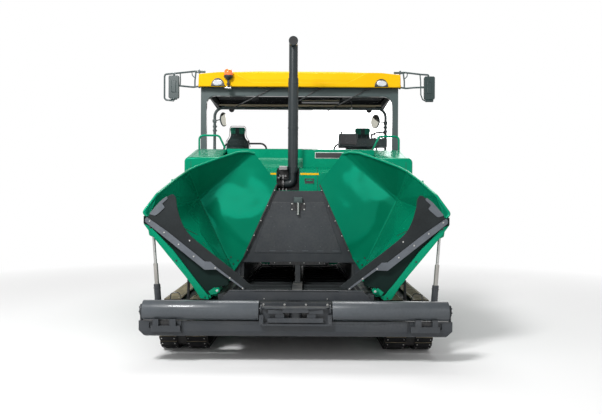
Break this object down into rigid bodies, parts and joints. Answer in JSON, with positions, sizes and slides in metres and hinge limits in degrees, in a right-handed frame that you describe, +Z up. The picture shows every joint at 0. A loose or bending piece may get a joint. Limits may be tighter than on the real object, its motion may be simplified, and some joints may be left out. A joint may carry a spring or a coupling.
{
  "type": "tracked asphalt paver",
  "caption": "Tracked asphalt paver with folding hopper wings, push rollers, twin conveyors, a fold-down weather roof and an extending screed.",
  "frame": {"origin": "on the ground, in the middle of the machine's plan", "axes": "+Z up, the hopper end looks along -Y, +X is across, to the right when seen from the front"},
  "size_m": [4.016, 6.9, 3.8218],
  "materials": {
    "green_paint": "gloss",
    "yellow_paint": "gloss",
    "dark_paint": "satin",
    "frame_steel": "matte",
    "roller_steel": "satin",
    "track_steel": "matte",
    "worn_steel": "brushed",
    "chrome_rod": "polished",
    "rubber_flap": "matte",
    "seat_fabric": "woven",
    "console_plastic": "matte",
    "clear_glass": "clear",
    "lamp_plastic": "gloss",
    "stack_black": "satin"
  },
  "bodies": {
    "chassis": {"main_frame": "frame_steel", "conveyor_floor": "frame_steel", "conveyors": "worn_steel", "hopper_rear_wall": "dark_paint", "front_apron": "dark_paint", "track_left": "track_steel", "track_right": "track_steel", "track_frame_left": "frame_steel", "track_frame_right": "frame_steel", "engine_block": "frame_steel", "hood": "green_paint", "muffler": "stack_black", "exhaust_pipe": "stack_black", "rear_body": "green_paint", "side_tanks": "green_paint", "operator_deck": "dark_paint", "seat_pedestals": "console_plastic", "seat_cushions": "seat_fabric", "seat_backs": "seat_fabric", "operator_console": "console_plastic", "handrails": "green_paint", "deck_rails": "dark_paint", "auger_case": "frame_steel"},
    "push_bar": {"push_beam": "dark_paint"},
    "push_roller_left": {"push_roller_left": "roller_steel"},
    "push_roller_right": {"push_roller_right": "roller_steel"},
    "portal": {"windscreen_frame": "dark_paint", "windscreen_glass": "clear_glass"},
    "rear_hoop": {"rear_hoop": "dark_paint"},
    "roof": {"roof_canopy": "yellow_paint", "roof_mirrors": "console_plastic", "roof_lamps": "lamp_plastic"},
    "screed": {"tow_arms": "green_paint", "screed_frame": "green_paint", "screed_walkway": "dark_paint"},
    "lift_barrels": {"lift_barrels": "dark_paint"},
    "lift_rods": {"lift_rods": "chrome_rod"},
    "hopper_wing_right": {"hopper_wing_right": "green_paint", "wing_frame_right": "green_paint", "wing_flap_right": "rubber_flap"},
    "wing_barrel_right": {"wing_barrel_right": "chrome_rod"},
    "wing_rod_right": {"wing_rod_right": "chrome_rod"},
    "side_door_right": {"side_door_right": "green_paint"},
    "screed_extension_right": {"screed_extension_right": "green_paint"},
    "auger_right": {"auger_right": "worn_steel"},
    "hopper_wing_left": {"hopper_wing_left": "green_paint", "wing_frame_left": "green_paint", "wing_flap_left": "rubber_flap"},
    "wing_barrel_left": {"wing_barrel_left": "chrome_rod"},
    "wing_rod_left": {"wing_rod_left": "chrome_rod"},
    "side_door_left": {"side_door_left": "green_paint"},
    "screed_extension_left": {"screed_extension_left": "green_paint"},
    "auger_left": {"auger_left": "worn_steel"}
  },
  "joints": [
    {"name": "push_bar_swivel", "type": "hinge", "parent": "chassis", "child": "push_bar", "pos_m": [0, -3.21, 0.43], "axis": [0, 0, 1], "range_deg": [-3, 3]},
    {"name": "push_roller_right_spin", "type": "hinge", "parent": "push_bar", "child": "push_roller_right", "pos_m": [0.925, -3.355, 0.532], "axis": [1, 0, 0], "continuous": true},
    {"name": "push_roller_left_spin", "type": "hinge", "parent": "push_bar", "child": "push_roller_left", "pos_m": [-0.925, -3.355, 0.532], "axis": [1, 0, 0], "continuous": true},
    {"name": "hopper_wing_right_fold", "type": "hinge", "parent": "chassis", "child": "hopper_wing_right", "pos_m": [0.825, -2.26, 0.67], "axis": [0, 1, 0], "range_deg": [0, 22]},
    {"name": "wing_barrel_right_swing", "type": "hinge", "parent": "chassis", "child": "wing_barrel_right", "pos_m": [1.416, -2.99, 0.268], "axis": [0, 1, 0], "range_deg": [-1, 16.9]},
    {"name": "wing_rod_right_slide", "type": "slide", "parent": "wing_barrel_right", "child": "wing_rod_right", "axis": [0.074, 0, 0.9973], "range_m": [-0.262, 0.005]},
    {"name": "hopper_wing_left_fold", "type": "hinge", "parent": "chassis", "child": "hopper_wing_left", "pos_m": [-0.825, -2.26, 0.67], "axis": [0, -1, 0], "range_deg": [0, 22]},
    {"name": "wing_barrel_left_swing", "type": "hinge", "parent": "chassis", "child": "wing_barrel_left", "pos_m": [-1.416, -2.99, 0.268], "axis": [0, -1, 0], "range_deg": [-1, 16.9]},
    {"name": "wing_rod_left_slide", "type": "slide", "parent": "wing_barrel_left", "child": "wing_rod_left", "axis": [-0.074, 0, 0.9973], "range_m": [-0.262, 0.005]},
    {"name": "roof_fold", "type": "hinge", "parent": "chassis", "child": "portal", "pos_m": [0, -0.22, 1.9], "axis": [-1, 0, 0], "range_deg": [0, 28]},
    {"name": "rear_hoop_tilt", "type": "hinge", "parent": "chassis", "child": "rear_hoop", "pos_m": [0, 1.17, 1.83], "axis": [-1, 0, 0], "range_deg": [-1, 29]},
    {"name": "roof_level", "type": "hinge", "parent": "portal", "child": "roof", "pos_m": [0, -0.22, 3.35], "axis": [-1, 0, 0], "range_deg": [-29, 1]},
    {"name": "side_door_right_swing", "type": "hinge", "parent": "chassis", "child": "side_door_right", "pos_m": [1.507, -0.5, 1.65], "axis": [0, 0, 1], "range_deg": [0, 85]},
    {"name": "side_door_left_swing", "type": "hinge", "parent": "chassis", "child": "side_door_left", "pos_m": [-1.507, -0.5, 1.65], "axis": [0, 0, -1], "range_deg": [0, 85]},
    {"name": "screed_lift", "type": "hinge", "parent": "chassis", "child": "screed", "pos_m": [0, -1, 0.795], "axis": [1, 0, 0], "range_deg": [0, 6.5]},
    {"name": "lift_barrels_swing", "type": "hinge", "parent": "chassis", "child": "lift_barrels", "pos_m": [0, 1.765, 1.53], "axis": [1, 0, 0], "range_deg": [-1, 17.9]},
    {"name": "lift_rods_slide", "type": "slide", "parent": "lift_barrels", "child": "lift_rods", "axis": [0, 0.528, -0.8492], "range_m": [-0.311, 0.005]},
    {"name": "screed_extension_right_slide", "type": "slide", "parent": "screed", "child": "screed_extension_right", "axis": [1, 0, 0], "range_m": [0, 1.5]},
    {"name": "screed_extension_left_slide", "type": "slide", "parent": "screed", "child": "screed_extension_left", "axis": [-1, 0, 0], "range_m": [0, 1.5]},
    {"name": "auger_right_spin", "type": "hinge", "parent": "chassis", "child": "auger_right", "pos_m": [0.77, 1.725, 0.48], "axis": [1, 0, 0], "continuous": true},
    {"name": "auger_left_spin", "type": "hinge", "parent": "chassis", "child": "auger_left", "pos_m": [-0.77, 1.725, 0.48], "axis": [1, 0, 0], "continuous": true}
  ],
  "couplings": [
    {"joint": "wing_barrel_right_swing", "follows": "hopper_wing_right_fold", "ratio": 0.67703},
    {"joint": "wing_rod_right_slide", "follows": "hopper_wing_right_fold", "m_per_rad": -0.655},
    {"joint": "wing_barrel_left_swing", "follows": "hopper_wing_left_fold", "ratio": 0.67703},
    {"joint": "wing_rod_left_slide", "follows": "hopper_wing_left_fold", "m_per_rad": -0.655},
    {"joint": "rear_hoop_tilt", "follows": "roof_fold", "ratio": 1},
    {"joint": "roof_level", "follows": "roof_fold", "ratio": -1},
    {"joint": "lift_barrels_swing", "follows": "screed_lift", "ratio": 2.4505},
    {"joint": "lift_rods_slide", "follows": "screed_lift", "m_per_rad": -2.6489}
  ]
}
